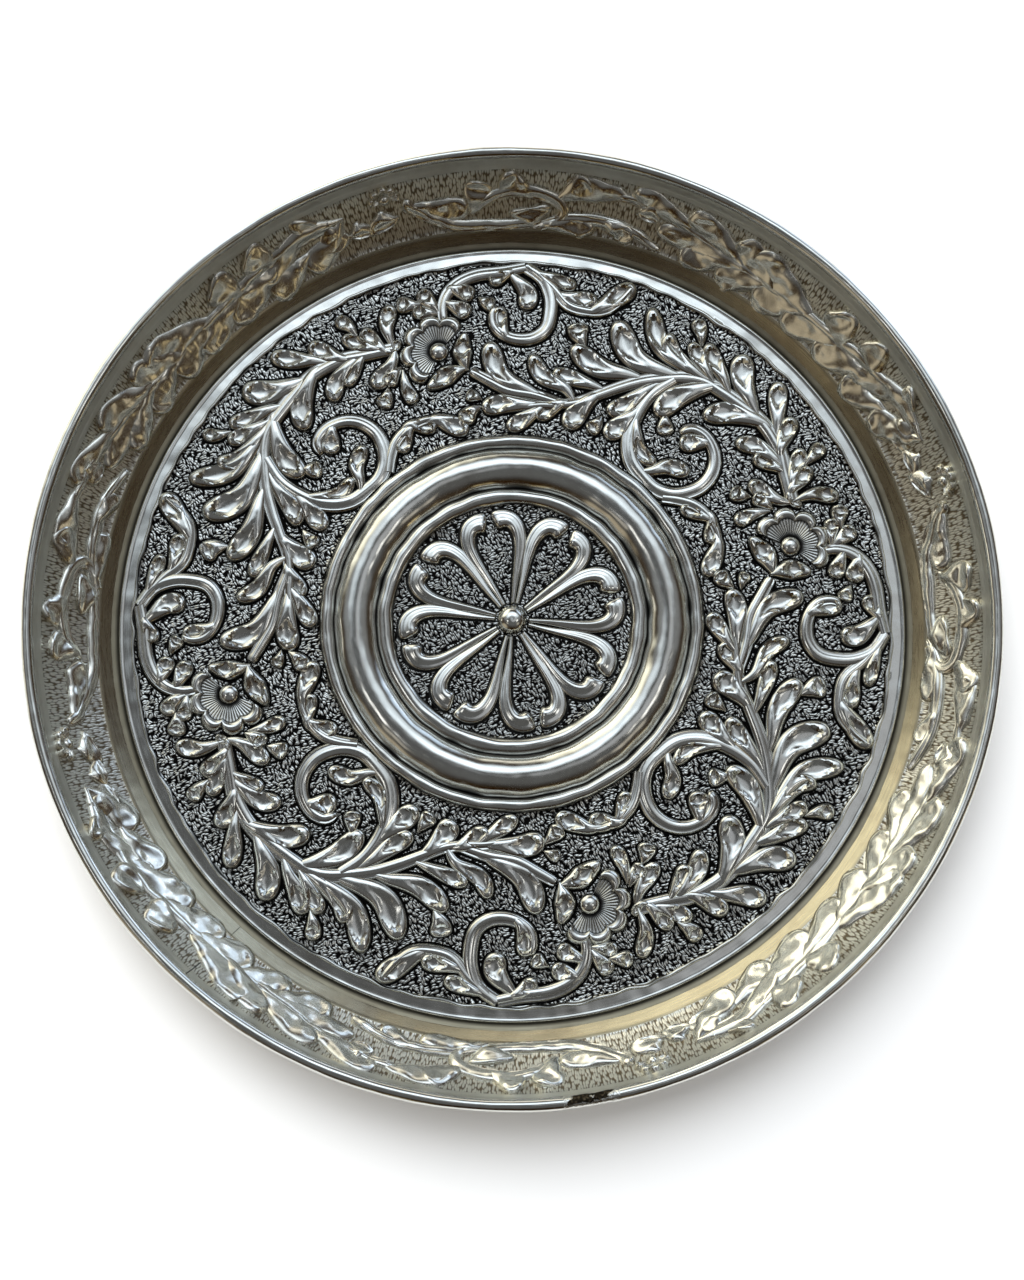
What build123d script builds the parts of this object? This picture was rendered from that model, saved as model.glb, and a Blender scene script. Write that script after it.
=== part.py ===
"""A round chased thali plate: a sheet floor, a flared wall and a rim wire, soldered together.

Millimetres. +Z is up. The origin is the middle of the flange that the plate stands on.
"""

import os
from math import atan2, cos, degrees, hypot, pi, radians, sin

from build123d import *

# Overall sizes
RIM_DIAMETER = 254.0
HEIGHT = 25.0
WALL_FLARE = 20.0
FLOOR_SHEET = 0.8
WALL_SHEET = 0.8

# The wall: a flange under the floor, a bend at the foot, a bowed side and a plain collar
FLANGE_WIDTH = 4.0
FOOT_GAP = 0.3
FOOT_BEND_RADIUS = 1.5
FOOT_SLOPE = 38.0
COLLAR_HEIGHT = 4.4
COLLAR_LEAN = 1.3
WALL_JOINT_GAP = 0.5
WALL_JOINT_ANGLE = 229.0

# The wire along the rim, let down over the wall's top edge
RIM_WIRE_DIAMETER = 3.2
RIM_LAP = 1.3
RIM_JOINT_LENGTH = 14.0
RIM_JOINT_ANGLE = 279.0
RIM_JOINT_WASTE = 0.15

# The solder along the edge of the floor, and how far it climbs the wall
SEAM_CLIMB = 0.75
SEAM_DROP = 0.15

# The raised middle of the floor, from its outer bead inwards
OUTER_BEAD_DIAMETER = 104.8
OUTER_BEAD_WIDTH = 3.9
OUTER_BEAD_HEIGHT = 1.3
RING_WIDTH = 11.5
RING_HEIGHT = 3.6
INNER_BEAD_WIDTH = 4.6
INNER_BEAD_HEIGHT = 1.5

# The rosette inside the ring, and the bead in its middle
PETAL_COUNT = 8
PETAL_TURN = 13.0
PETAL_RELIEF = 1.3
PETAL_RIB = 2.2
PETAL_HEAD = 8.5
PETAL_TIP_GAP = 2.0
PETAL_SIDE_GAP = 0.8
CENTRE_BEAD_DIAMETER = 8.2
CENTRE_BEAD_HEIGHT = 2.6
CENTRE_BEAD_GAP = 0.8

# The leaf scroll in the field between the raised middle and the plain margin, once in each quarter
SCROLL_COUNT = 4
SCROLL_RELIEF = 0.9
FIELD_MARGIN = 4.3
STEM_WIDTH = 3.6
LEAF_LAP = 2.5
LEAF_HEAD = 0.6
FLOWER_CUP_DIAMETER = 17.0
FLOWER_LOBE_DIAMETER = 7.2
FLOWER_LOBE_COUNT = 5
FLOWER_LOBE_STEP = 40.0
FLOWER_LOBE_TURN = 160.0

# The field that the scroll was drawn for, with the points below in millimetres from the middle
DRAWN_INNER = 52.4
DRAWN_OUTER = 102.7
FLOWER_MIDDLE = (-76.4, -20.5)

# The stems: the main one, its end, the inner curl, the tendril by the raised middle, the outer curl
# and its two arms
STEMS = (
    ((-77.3, -33.6), (-75.4, -42.3), (-71.2, -53.6), (-63.4, -61.4), (-53.8, -67.9), (-43.4, -68.8),
     (-30.3, -66.2), (-18.2, -61.8), (-7.7, -61.0), (1.8, -60.5)),
    ((-14.0, -61.4), (-6.0, -64.0), (1.0, -65.3), (11.8, -71.0)),
    ((-45.1, -68.5), (-38.6, -64.0), (-34.0, -57.0), (-32.3, -50.1), (-36.0, -40.1), (-43.8, -35.1),
     (-52.5, -37.5), (-56.3, -44.9), (-53.4, -52.3), (-46.4, -52.7)),
    ((-41.5, -34.0), (-50.3, -32.0), (-56.0, -25.0), (-56.8, -21.5)),
    ((-3.8, -101.4), (-8.6, -97.9), (-10.8, -87.5), (-6.0, -80.5), (2.3, -81.4), (5.3, -87.5)),
    ((-3.8, -101.4), (9.7, -99.2), (18.3, -93.6), (19.2, -84.9)),
    ((-4.3, -101.4), (-15.6, -90.1), (-26.0, -88.3), (-35.0, -96.2)),
)

# The main leaves: root, tip and width
LEAVES = (
    ((-78.3, -33.5), (-90.3, -34.0), 4.5),
    ((-71.0, -30.5), (-60.8, -27.0), 4.0),
    ((-72.3, -34.0), (-65.3, -39.0), 4.8),
    ((-76.8, -36.0), (-82.8, -42.5), 4.5),
    ((-77.5, -40.0), (-80.5, -48.0), 4.5),
    ((-74.3, -48.0), (-78.3, -57.0), 5.0),
    ((-73.8, -55.5), (-75.0, -67.5), 5.0),
    ((-67.0, -61.0), (-65.0, -75.5), 6.5),
    ((-59.0, -68.8), (-55.2, -79.0), 5.0),
    ((-52.0, -69.8), (-44.5, -82.0), 5.0),
    ((-51.0, -70.0), (-39.5, -89.5), 5.5),
    ((-44.0, -70.2), (-29.5, -85.5), 7.0),
    ((-33.0, -69.7), (-16.5, -78.0), 6.0),
    ((-22.0, -66.8), (-11.5, -71.0), 4.5),
    ((-5.0, -65.0), (6.5, -79.5), 6.0),
    ((-74.5, -42.0), (-66.3, -46.5), 4.0),
    ((-73.5, -44.5), (-61.5, -50.0), 4.8),
    ((-70.0, -55.5), (-53.0, -57.5), 6.0),
    ((-57.0, -66.5), (-40.0, -57.5), 6.0),
    ((-33.5, -58.0), (-25.3, -51.2), 5.5),
    ((-22.0, -62.5), (-15.3, -54.3), 6.0),
    ((-13.0, -61.0), (-6.3, -57.0), 5.0),
    ((-4.0, -61.0), (8.8, -59.3), 5.5),
    ((-38.5, -41.8), (-49.3, -40.8), 4.5),
    ((-56.5, -21.0), (-53.0, -11.5), 4.8),
    ((-1.0, -98.0), (-3.5, -89.0), 5.5),
    ((18.8, -91.0), (11.5, -87.8), 4.5),
    ((-24.0, -89.0), (-35.3, -96.0), 5.5),
    ((-16.0, -92.5), (-24.3, -91.0), 4.5),
)

# Places worked out from the sizes above
RIM_RADIUS = RIM_DIAMETER / 2
FLOOR_RADIUS = RIM_RADIUS - WALL_FLARE
FLANGE_RADIUS = FLOOR_RADIUS - FLANGE_WIDTH
FOOT_RADIUS = FLOOR_RADIUS + FOOT_GAP
FLOOR_TOP = WALL_SHEET + FLOOR_SHEET
WIRE_RADIUS = RIM_WIRE_DIAMETER / 2
WIRE_CENTRE = (RIM_RADIUS - WIRE_RADIUS, HEIGHT - WIRE_RADIUS)
LIP_TOP = HEIGHT - RIM_WIRE_DIAMETER + RIM_LAP
LIP_RADIUS = WIRE_CENTRE[0] - WALL_SHEET
COLLAR_BASE = (LIP_RADIUS - COLLAR_LEAN, LIP_TOP - COLLAR_HEIGHT)
FIELD_RADIUS = FLOOR_RADIUS - FIELD_MARGIN
BOSS_RADIUS = OUTER_BEAD_DIAMETER / 2
RING_OUTER_RADIUS = BOSS_RADIUS - OUTER_BEAD_WIDTH
RING_INNER_RADIUS = RING_OUTER_RADIUS - RING_WIDTH
ROSETTE_RADIUS = RING_INNER_RADIUS - INNER_BEAD_WIDTH
PETAL_ROOT = CENTRE_BEAD_DIAMETER / 2 + CENTRE_BEAD_GAP
PETAL_TIP = ROSETTE_RADIUS - PETAL_TIP_GAP
WALL_JOINT_ARC = degrees(WALL_JOINT_GAP / FLOOR_RADIUS)
RIM_JOINT_ARC = degrees(RIM_JOINT_LENGTH / WIRE_CENTRE[0])


def upright_plane(angle):
    """The upright plane through the plate's axis at an angle, with local X outwards and local Y up."""
    turn = radians(angle)
    return Plane((0, 0, 0), x_dir=(cos(turn), sin(turn), 0), z_dir=(sin(turn), -cos(turn), 0))


def floor_line(level):
    """The floor's line from its edge to the axis at a level, rising over the beads and the ring."""
    Line((FLOOR_RADIUS, level), (BOSS_RADIUS, level))
    start = BOSS_RADIUS
    for width, height in (
        (OUTER_BEAD_WIDTH, OUTER_BEAD_HEIGHT),
        (RING_WIDTH, RING_HEIGHT),
        (INNER_BEAD_WIDTH, INNER_BEAD_HEIGHT),
    ):
        ThreePointArc((start, level), (start - width / 2, level + height), (start - width, level))
        start -= width
    Line((ROSETTE_RADIUS, level), (0, level))


def teardrop(root, shoulder, tip, half_width):
    """A flat drop along X: a point at its root, straight sides to its shoulders and a round tip."""
    with BuildSketch() as drop:
        with BuildLine():
            edge = Line((root, 0), (shoulder, half_width))
            TangentArc(edge @ 1, (tip, 0), tangent=edge % 1)
            mirror(about=Plane.XZ)
        make_face()
    return drop.sketch


def petal_face(inset):
    """One petal of the rosette along X, drawn in by an inset on all its sides."""
    shoulder = PETAL_TIP - PETAL_HEAD
    half_width = shoulder * sin(pi / PETAL_COUNT) - PETAL_SIDE_GAP / 2 - inset
    return teardrop(PETAL_ROOT + 2 * inset, shoulder, PETAL_TIP - inset, half_width)


def field_point(point):
    """A drawn point of the scroll, moved in or out so that the scroll fits the plate's own field."""
    drawn = hypot(*point)
    share = (drawn - DRAWN_INNER) / (DRAWN_OUTER - DRAWN_INNER)
    reach = BOSS_RADIUS + share * (FIELD_RADIUS - BOSS_RADIUS)
    return Vector(*point) * (reach / drawn)


# The cut through the wall, with X as the radius and Y as the height
with BuildSketch() as wall_profile:
    with BuildLine():
        flange = Line((FLANGE_RADIUS, WALL_SHEET), (FOOT_RADIUS, WALL_SHEET))
        bend = JernArc(flange @ 1, flange % 1, FOOT_BEND_RADIUS, FOOT_SLOPE)
        side = TangentArc(bend @ 1, COLLAR_BASE, tangent=bend % 1)
        collar = Line(side @ 1, (LIP_RADIUS, LIP_TOP))
        lip = Line(collar @ 1, (LIP_RADIUS + WALL_SHEET, LIP_TOP))
        under = Line(flange @ 0, (FLANGE_RADIUS, 0))
        under_flange = Line(under @ 1, (FOOT_RADIUS, 0))
        outer_bend = JernArc(under_flange @ 1, flange % 1, FOOT_BEND_RADIUS + WALL_SHEET, FOOT_SLOPE)
        outer_collar_foot = side @ 1 + (side % 1).rotate(Axis.Z, -90) * WALL_SHEET
        outer_side = TangentArc(outer_bend @ 1, outer_collar_foot, tangent=bend % 1)
        Line(outer_side @ 1, lip @ 1)
    make_face()

# The cut through the rim wire, hollowed where it sits over the wall's top edge
with BuildSketch() as wire_profile:
    with Locations(WIRE_CENTRE):
        Circle(WIRE_RADIUS)
    add(wall_profile.sketch, mode=Mode.SUBTRACT)

petal = petal_face(0)
petal_ground = petal_face(PETAL_RIB)

# The scroll of one quarter, seen from above
with BuildSketch() as scroll:
    for points in STEMS:
        with BuildLine():
            Spline(*[field_point(point) for point in points])
        trace(line_width=STEM_WIDTH)
    for root, tip, width in LEAVES:
        root, tip = field_point(root), field_point(tip)
        run = tip - root
        with Locations(Location(root, (0, 0, degrees(atan2(run.Y, run.X))))):
            add(teardrop(-LEAF_LAP, run.length - width * LEAF_HEAD, run.length, width / 2))
    flower = field_point(FLOWER_MIDDLE)
    with Locations(flower):
        Circle(FLOWER_CUP_DIAMETER / 2)
        with PolarLocations(FLOWER_CUP_DIAMETER / 2, FLOWER_LOBE_COUNT, FLOWER_LOBE_TURN,
                            FLOWER_LOBE_STEP * (FLOWER_LOBE_COUNT - 1), endpoint=True):
            Circle(FLOWER_LOBE_DIAMETER / 2)

# The floor: one sheet, with its beads, ring and rosette pushed up
with BuildPart() as floor_panel:
    with BuildSketch(Plane.XZ):
        with BuildLine():
            floor_line(FLOOR_TOP)
            floor_line(WALL_SHEET)
            Line((FLOOR_RADIUS, WALL_SHEET), (FLOOR_RADIUS, FLOOR_TOP))
            Line((0, WALL_SHEET), (0, FLOOR_TOP))
        make_face()
    revolve(axis=Axis.Z)
    with BuildSketch(Plane.XY.offset(FLOOR_TOP)):
        with PolarLocations(0, PETAL_COUNT, start_angle=PETAL_TURN):
            add(petal)
            add(petal_ground, mode=Mode.SUBTRACT)
    extrude(amount=PETAL_RELIEF)
    with BuildSketch(Plane.XY.offset(FLOOR_TOP)):
        with PolarLocations(0, SCROLL_COUNT):
            add(scroll.sketch)
    extrude(amount=SCROLL_RELIEF)
floor_panel.part.label = "floor_panel"

# The wall: one strip bent round to an open hoop
with BuildPart() as wall_band:
    with BuildSketch(upright_plane(WALL_JOINT_ANGLE + WALL_JOINT_ARC / 2)):
        add(wall_profile.sketch)
    revolve(axis=Axis.Z, revolution_arc=360 - WALL_JOINT_ARC)
wall_band.part.label = "wall_band"

# The solder that closes the hoop
with BuildPart() as wall_joint:
    with BuildSketch(upright_plane(WALL_JOINT_ANGLE - WALL_JOINT_ARC / 2)):
        add(wall_profile.sketch)
    revolve(axis=Axis.Z, revolution_arc=WALL_JOINT_ARC)
wall_joint.part.label = "wall_joint"

# The solder in the corner between the floor's edge and the wall, lying along the wall's own line
with BuildPart() as floor_seam:
    with BuildSketch(Plane.XZ):
        with BuildLine():
            add(bend)
            add(side.trim_to_length(0, SEAM_CLIMB))
            Polyline(
                side.position_at(SEAM_CLIMB, position_mode=PositionMode.LENGTH),
                (FLOOR_RADIUS, FLOOR_TOP - SEAM_DROP),
                (FLOOR_RADIUS, WALL_SHEET),
                bend @ 0,
            )
        make_face()
    revolve(axis=Axis.Z)
floor_seam.part.label = "floor_seam"

# The wire along the rim, open where its ends are joined
with BuildPart() as rim_wire:
    with BuildSketch(upright_plane(RIM_JOINT_ANGLE + RIM_JOINT_ARC / 2)):
        add(wire_profile.sketch)
    revolve(axis=Axis.Z, revolution_arc=360 - RIM_JOINT_ARC)
rim_wire.part.label = "rim_wire"

# The solder between the wire's ends, filed a little below the wire
with BuildPart() as rim_joint:
    with BuildSketch(upright_plane(RIM_JOINT_ANGLE - RIM_JOINT_ARC / 2)):
        with Locations(WIRE_CENTRE):
            Circle(WIRE_RADIUS - RIM_JOINT_WASTE)
        add(wall_profile.sketch, mode=Mode.SUBTRACT)
    revolve(axis=Axis.Z, revolution_arc=RIM_JOINT_ARC)
rim_joint.part.label = "rim_joint"

# The bead in the middle of the rosette
with BuildPart() as centre_bead:
    with BuildSketch(Plane.XZ):
        with BuildLine():
            foot = Line((0, FLOOR_TOP), (CENTRE_BEAD_DIAMETER / 2, FLOOR_TOP))
            axis_line = Line(foot @ 0, (0, FLOOR_TOP + CENTRE_BEAD_HEIGHT))
            TangentArc(axis_line @ 1, foot @ 1, tangent=(1, 0))
        make_face()
    revolve(axis=Axis.Z)
centre_bead.part.label = "centre_bead"

os.makedirs("parts", exist_ok=True)
for piece in (floor_panel, wall_band, wall_joint, floor_seam, rim_wire, rim_joint, centre_bead):
    export_step(piece.part, f"parts/{piece.part.label}.step")
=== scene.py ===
"""Looks of a chased silver-plated thali plate, built as an add-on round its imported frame."""

import bisect
import math
import random

import bmesh
import bpy
from bpy.props import FloatProperty, FloatVectorProperty, IntProperty, PointerProperty
from mathutils import Matrix, Vector, kdtree, noise


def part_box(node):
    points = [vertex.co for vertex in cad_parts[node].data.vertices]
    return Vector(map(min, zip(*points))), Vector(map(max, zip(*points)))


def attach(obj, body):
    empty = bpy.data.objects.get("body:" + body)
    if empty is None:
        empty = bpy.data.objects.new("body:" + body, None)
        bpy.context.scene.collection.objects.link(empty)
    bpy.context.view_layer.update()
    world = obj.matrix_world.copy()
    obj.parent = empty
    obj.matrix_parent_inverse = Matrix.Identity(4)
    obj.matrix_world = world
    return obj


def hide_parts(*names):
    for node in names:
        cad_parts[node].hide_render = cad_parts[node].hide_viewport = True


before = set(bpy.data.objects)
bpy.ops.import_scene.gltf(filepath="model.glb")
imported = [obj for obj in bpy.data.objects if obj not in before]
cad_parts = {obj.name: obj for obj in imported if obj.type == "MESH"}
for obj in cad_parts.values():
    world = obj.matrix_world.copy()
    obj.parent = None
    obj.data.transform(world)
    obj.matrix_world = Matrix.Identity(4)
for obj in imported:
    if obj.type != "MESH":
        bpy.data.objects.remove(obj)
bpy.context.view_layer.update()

bl_info = {
    "name": "Chased thali plate",
    "version": (1, 0, 0),
    "blender": (4, 5, 0),
    "location": "View3D > Sidebar > Thali",
    "description": "Builds a chased silver-plated thali plate and a plain stage for it",
    "category": "Add Mesh",
}

MM = 0.001

# Places read from the frame, in millimetres
FLOOR_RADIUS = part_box("floor_panel")[1].x / MM
FLOOR_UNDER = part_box("floor_panel")[0].z / MM
FLOOR_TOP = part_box("centre_bead")[0].z / MM
BEAD_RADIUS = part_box("centre_bead")[1].x / MM
BEAD_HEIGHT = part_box("centre_bead")[1].z / MM - FLOOR_TOP
RIM_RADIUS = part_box("rim_wire")[1].x / MM
RIM_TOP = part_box("rim_wire")[1].z / MM
WIRE_RADIUS = (RIM_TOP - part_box("rim_wire")[0].z / MM) / 2
LIP_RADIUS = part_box("wall_band")[1].x / MM
LIP_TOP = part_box("wall_band")[1].z / MM

# The raised middle: widths and heights of its bands from the outer bead inwards, and the radii
# between which its two beads are hammered
BOSS_RADIUS = 52.4
BOSS_BANDS = ((3.9, 1.3), (11.5, 3.6), (4.6, 1.5))
BEAD_ZONES = ((48, 53), (32, 37.5))
ROSETTE_RADIUS = BOSS_RADIUS - sum(band[0] for band in BOSS_BANDS)
FIELD_RADIUS = 102.7
FLANGE_RADIUS = 103.0

# The wall's inner line: a bend at the foot, a bowed side and a plain collar. SIDE_CLIMB is how far up
# from the seam the side starts, and the ground is sunk between BAND_FOOT and BAND_TOP.
WALL_SHEET = 0.8
FOOT_RADIUS = 107.3
FOOT_BEND = 1.5
FOOT_SLOPE = math.radians(38)
COLLAR_BASE = Vector((LIP_RADIUS - WALL_SHEET - 1.3, LIP_TOP - 4.4))
SIDE_START = Vector((FOOT_RADIUS + FOOT_BEND * math.sin(FOOT_SLOPE),
                     FLOOR_UNDER + FOOT_BEND * (1 - math.cos(FOOT_SLOPE))))
SIDE_CLIMB = 1.32
SIDE_CHORD = COLLAR_BASE - SIDE_START
SIDE_BOW = SIDE_CHORD.length / (2 * math.sin(math.atan2(SIDE_CHORD.y, SIDE_CHORD.x) - FOOT_SLOPE))
SIDE_CENTRE = SIDE_START + Vector((-math.sin(FOOT_SLOPE), math.cos(FOOT_SLOPE))) * SIDE_BOW
BAND_FOOT, BAND_TOP = 6.8, 24.0

# The joints, in degrees
WALL_JOINT_ANGLE = 229.0
WALL_JOINT_GAP, WALL_JOINT_ARC = 0.1, 0.14
RIM_JOINT_ANGLE = 279.0
RIM_JOINT_ARC = 6.4

# The wall's ground is sunk by this share of the floor's recess
WALL_SINK = 0.6
# Marks that run round the plate are measured at this radius
MARK_RADIUS = 115
# The chased forms' dark outline, a flat strip painted with oxide and the shade of the groove it stands for,
# stands this far above the ground, and their underside this far below
OUTLINE_RISE, SKIRT_DEPTH = 0.05, 0.12

# The scroll on a quarter of the floor, in millimetres from the middle. Each stem is its line and
# its widths at the two ends; each leaf is its root, any bend, its tip and its width.
FLOOR_STEMS = (
    (((-77.3, -33.6), (-75.4, -42.3), (-74.3, -47.5), (-71.2, -53.6), (-67.7, -57.9), (-63.4, -61.4),
      (-58.6, -64.9), (-53.8, -67.9), (-48.6, -69.0), (-43.4, -68.8), (-36.4, -67.9), (-30.3, -66.2),
      (-24.3, -64.0), (-18.2, -61.8), (-12.1, -61.0), (-7.7, -61.0), (-3.4, -60.5), (1.8, -60.5)), 3.2, 2.0),
    (((-14.0, -61.4), (-6.0, -64.0), (1.0, -65.3), (6.2, -67.9), (11.8, -71.0)), 2.2, 2.4),
    (((-45.1, -68.5), (-38.6, -64.0), (-34.0, -57.0), (-32.3, -50.1), (-33.1, -44.4), (-36.0, -40.1),
      (-39.5, -36.6), (-43.8, -35.1), (-48.2, -35.5), (-52.5, -37.5), (-55.3, -41.0), (-56.3, -44.9),
      (-55.6, -48.8), (-53.4, -52.3), (-49.9, -54.0), (-46.4, -52.7)), 3.2, 2.4),
    (((-41.5, -34.0), (-46.0, -33.4), (-50.3, -32.0), (-53.8, -29.0), (-56.0, -25.0), (-56.8, -21.5)),
     2.4, 1.8),
    (((-3.8, -101.4), (-8.6, -97.9), (-10.8, -92.7), (-10.8, -87.5), (-9.5, -83.1), (-6.0, -80.5),
      (-1.7, -80.1), (2.3, -81.4), (4.9, -84.0), (5.3, -87.5), (4.0, -89.7)), 2.8, 2.2),
    (((-3.8, -101.4), (2.7, -100.1), (9.7, -99.2), (14.9, -97.0), (18.3, -93.6), (19.7, -89.2),
      (19.2, -84.9)), 2.6, 2.4),
    (((-4.3, -101.4), (-11.2, -95.3), (-15.6, -90.1), (-20.8, -88.3), (-26.0, -88.3), (-30.3, -91.0),
      (-35.0, -96.2)), 2.4, 1.6),
)
FLOOR_LEAVES = (
    # about the foot of the flower
    (((-78.3, -33.5), (-84.0, -35.3), (-90.3, -34.0)), 4.5),
    (((-71.0, -30.5), (-66.0, -29.5), (-60.8, -27.0)), 4.0),
    (((-71.8, -31.0), (-66.3, -34.8)), 4.5),
    (((-72.3, -34.0), (-65.3, -39.0)), 4.8),
    (((-65.8, -34.5), (-60.2, -36.2)), 4.5),
    (((-76.5, -34.0), (-79.5, -31.5)), 2.5),
    # outside the main stem
    (((-76.8, -36.0), (-82.8, -42.5)), 4.5),
    (((-77.5, -40.0), (-80.5, -48.0)), 4.5),
    (((-81.0, -43.5), (-86.0, -49.5)), 4.2),
    (((-74.3, -48.0), (-78.3, -57.0)), 5.0),
    (((-73.8, -55.5), (-74.0, -61.0), (-75.0, -67.5)), 5.0),
    (((-67.0, -61.0), (-64.5, -68.0), (-65.0, -75.5)), 6.5),
    (((-59.0, -68.8), (-56.5, -74.0), (-55.2, -79.0)), 5.0),
    (((-54.5, -70.5), (-50.0, -79.0)), 4.5),
    (((-53.2, -78.0), (-52.2, -86.0)), 4.0),
    (((-52.0, -69.8), (-45.0, -76.0), (-44.5, -82.0)), 5.0),
    (((-51.0, -70.0), (-42.0, -77.5), (-39.5, -89.5)), 5.5),
    (((-44.0, -70.2), (-34.0, -75.0), (-29.5, -85.5)), 7.0),
    (((-33.0, -69.7), (-24.0, -72.0), (-16.5, -78.0)), 6.0),
    (((-20.5, -78.0), (-18.3, -85.0)), 5.5),
    (((-22.0, -66.8), (-11.5, -71.0)), 4.5),
    (((-15.0, -65.5), (-8.5, -69.5), (-5.5, -75.5)), 4.5),
    (((-5.0, -65.0), (3.5, -70.0), (6.5, -79.5)), 6.0),
    # inside the main stem
    (((-74.5, -42.0), (-66.3, -46.5)), 4.0),
    (((-73.5, -44.5), (-67.5, -49.0), (-61.5, -50.0)), 4.8),
    (((-70.0, -55.5), (-61.0, -58.6), (-53.0, -57.5)), 6.0),
    (((-57.0, -66.5), (-46.5, -63.5), (-40.0, -57.5)), 6.0),
    (((-42.5, -58.5), (-42.8, -52.0)), 4.5),
    (((-33.5, -58.0), (-25.3, -51.2)), 5.5),
    (((-38.0, -65.5), (-31.0, -60.5), (-26.3, -58.5)), 5.0),
    (((-25.0, -57.5), (-20.8, -53.0)), 4.2),
    (((-22.0, -62.5), (-18.5, -59.0), (-15.3, -54.3)), 6.0),
    (((-13.0, -61.0), (-6.3, -57.0)), 5.0),
    (((-6.0, -58.5), (1.8, -53.5)), 4.5),
    (((-4.0, -61.0), (3.0, -61.2), (8.8, -59.3)), 5.5),
    (((8.8, -60.5), (13.5, -56.0)), 4.5),
    (((8.5, -62.5), (12.8, -64.0)), 3.5),
    # in the inner curl and on the tendril by the ring
    (((-54.0, -50.0), (-46.3, -49.8)), 5.0),
    (((-38.5, -41.8), (-43.5, -43.0), (-49.3, -40.8)), 4.5),
    (((-34.5, -54.0), (-35.5, -47.5), (-39.8, -43.5)), 4.0),
    (((-55.0, -28.0), (-54.3, -20.5)), 4.0),
    (((-56.5, -21.0), (-55.5, -17.5), (-53.0, -11.5)), 4.8),
    (((-53.0, -28.8), (-46.5, -31.0)), 4.0),
    # beside the flower
    (((-87.8, -20.5), (-94.0, -26.0)), 4.5),
    (((-87.5, -20.5), (-88.0, -28.0)), 4.0),
    (((-90.5, -25.5), (-90.8, -32.3)), 4.5),
    # in the outer curl and along its two arms
    (((2.0, -81.5), (3.4, -85.5), (3.5, -90.0)), 4.5),
    (((-1.0, -98.0), (-4.5, -93.5), (-3.5, -89.0)), 5.5),
    (((2.5, -99.0), (6.8, -96.2)), 4.0),
    (((18.8, -91.0), (11.5, -87.8)), 4.5),
    (((17.0, -95.0), (10.2, -92.8)), 4.8),
    (((9.5, -92.5), (5.0, -90.0)), 4.0),
    (((-24.0, -89.0), (-35.3, -96.0)), 5.5),
    (((-16.0, -92.5), (-24.3, -91.0)), 4.5),
    (((-10.5, -98.5), (-18.3, -95.5)), 4.0),
)
FLOWER_MIDDLE = Vector((-76.4, -20.5))
FLOWER_SEPALS = (
    (((-70.8, -12.6), (-76.5, -13.9), (-82.0, -12.8)), 6.2),
    (((-71.6, -12.4), (-69.8, -17.5), (-65.5, -23.3)), 6.2),
)

# The rosette: one rib of its first petal, as millimetres out along the petal and off its middle
PETALS = 8
PETAL_TURN = 13
PETAL_RIB = ((4.6, 1.3), (9.1, 2.8), (13.4, 4.4), (17.6, 6.0), (21.5, 7.0), (24.9, 6.9), (27.3, 5.6),
             (28.2, 3.3), (27.8, 0.8))

# The scroll on a quarter of the wall: degrees round from its curl's root and steps up the wall, with
# where the root is, the millimetres in a degree, and the first step's height and each step's length
WALL_TURN = -4.0
PER_DEGREE = 2.0
STEP_FOOT, STEP_LENGTH = 2.5, 0.88
WALL_STEMS = (
    (((0.0, 5.4), (-2.3, 7.5), (-3.2, 11.0), (-2.0, 14.5), (1.0, 16.6), (4.0, 17.0), (7.0, 15.2),
      (8.5, 12.5)), 2.4, 2.2),
    (((1.0, 6.5), (4.0, 5.7), (8.0, 5.7), (12.0, 6.5), (15.0, 10.0), (17.5, 14.5), (18.5, 18.0)), 2.2, 2.4),
    (((29.0, 18.0), (34.0, 17.5), (39.0, 16.0), (44.0, 14.0), (49.0, 12.5), (54.0, 12.0), (59.0, 12.2),
      (64.0, 13.5), (69.0, 15.5), (74.0, 18.0), (79.0, 19.5), (83.0, 18.0)), 2.8, 1.8),
    (((90.0, 5.6), (86.5, 8.5), (82.5, 9.5), (78.0, 9.3), (74.5, 7.2), (72.5, 5.8)), 2.4, 1.8),
)
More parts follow.
